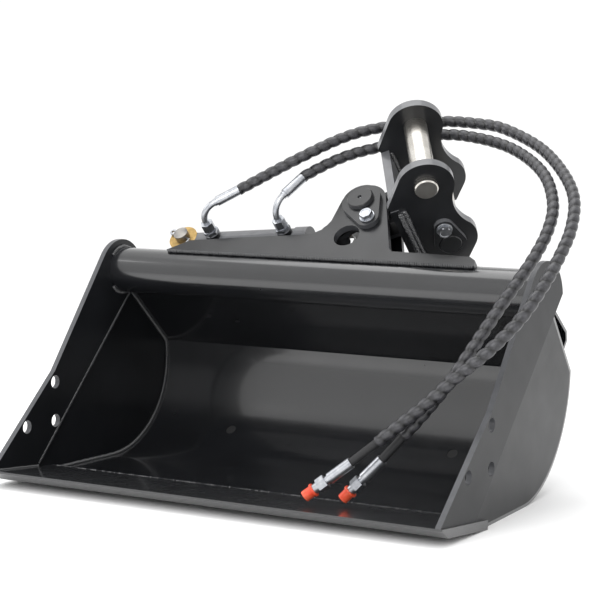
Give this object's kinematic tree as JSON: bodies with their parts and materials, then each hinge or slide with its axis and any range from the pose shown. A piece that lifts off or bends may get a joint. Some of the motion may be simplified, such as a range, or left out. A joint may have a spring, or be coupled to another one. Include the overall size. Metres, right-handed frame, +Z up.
{
  "type": "excavator bucket",
  "caption": "Wide hydraulic tilting grading bucket for a mini excavator, with a pivoting pin-on head, a tilt cylinder and two capped hoses.",
  "frame": {"origin": "on the ground, below the middle of the box around everything except the hoses", "axes": "+X along the width to the right seen from the open front, +Y to the back, +Z up"},
  "size_m": [0.8682, 0.6002, 0.6096],
  "materials": {
    "black_paint": "gloss black paint over welded steel",
    "pin_steel": "turned bare steel",
    "rod_chrome": "hard chrome, polished",
    "bronze": "machined bearing bronze",
    "clear_zinc": "bright zinc plate",
    "yellow_zinc": "yellow passivated zinc plate",
    "seal_rubber": "moulded seal",
    "hose_rubber": "black hose in a ribbed spiral guard",
    "cap_plastic": "moulded orange-red plastic"
  },
  "bodies": {
    "bucket": {"cutting_edge": "black_paint", "left_side_strip": "black_paint", "right_side_strip": "black_paint", "left_side_sheet": "black_paint", "right_side_sheet": "black_paint", "back_sheet": "black_paint", "drain_plugs": "seal_rubber", "top_tube": "black_paint", "back_stiffener": "black_paint", "tilt_plate_front": "black_paint", "tilt_plate_rear": "black_paint", "pivot_pin": "black_paint", "pivot_pin_retainer": "black_paint", "pivot_retainer_bolt": "clear_zinc", "pivot_grease_nipple": "clear_zinc", "barrel_pin": "pin_steel", "barrel_pin_washer": "yellow_zinc", "barrel_pin_cotter": "clear_zinc", "hose_a": "hose_rubber", "hose_a_ferrule": "clear_zinc", "hose_a_nut": "clear_zinc", "hose_a_cap": "cap_plastic", "hose_b": "hose_rubber", "hose_b_ferrule": "clear_zinc", "hose_b_nut": "clear_zinc", "hose_b_cap": "cap_plastic"},
    "head": {"head_hub": "black_paint", "hub_bushes": "bronze", "crank_plates": "black_paint", "head_base_plate": "black_paint", "front_ear": "black_paint", "rear_ear": "black_paint", "stick_pin": "pin_steel", "stick_pin_retainer": "black_paint", "stick_retainer_bolt": "clear_zinc", "link_pin": "pin_steel", "link_pin_retainer": "black_paint", "link_retainer_bolt": "clear_zinc"},
    "barrel": {"cylinder_barrel": "black_paint", "cylinder_gland": "black_paint", "port_adapters": "clear_zinc", "swivel_nuts": "clear_zinc", "hose_elbows": "clear_zinc", "port_ferrules": "clear_zinc"},
    "rod": {"piston_rod": "rod_chrome", "piston": "pin_steel", "piston_seals": "seal_rubber", "rod_eye": "black_paint", "rod_pin": "pin_steel", "rod_pin_washers": "yellow_zinc", "rod_pin_cotters": "clear_zinc"}
  },
  "joints": [
    {"name": "head_tilt", "type": "hinge", "parent": "bucket", "child": "head", "pos_m": [0.039, 0.15325, 0.41075], "axis": [0, -0.6871, 0.7266], "range_deg": [0, 90]},
    {"name": "barrel_swing", "type": "hinge", "parent": "bucket", "child": "barrel", "pos_m": [-0.289, 0.09949, 0.3599], "axis": [0, -0.6871, 0.7266], "range_deg": [-2.71, 0], "deforming": ["hose_a", "hose_b"]},
    {"name": "rod_stroke", "type": "slide", "parent": "barrel", "child": "rod", "axis": [0.9941, 0.0788, 0.0745], "range_m": [0, 0.0891]}
  ],
  "couplings": [
    {"joint": "barrel_swing", "follows": "head_tilt", "ratio": -0.03},
    {"joint": "rod_stroke", "follows": "head_tilt", "m_per_rad": 0.0564}
  ]
}
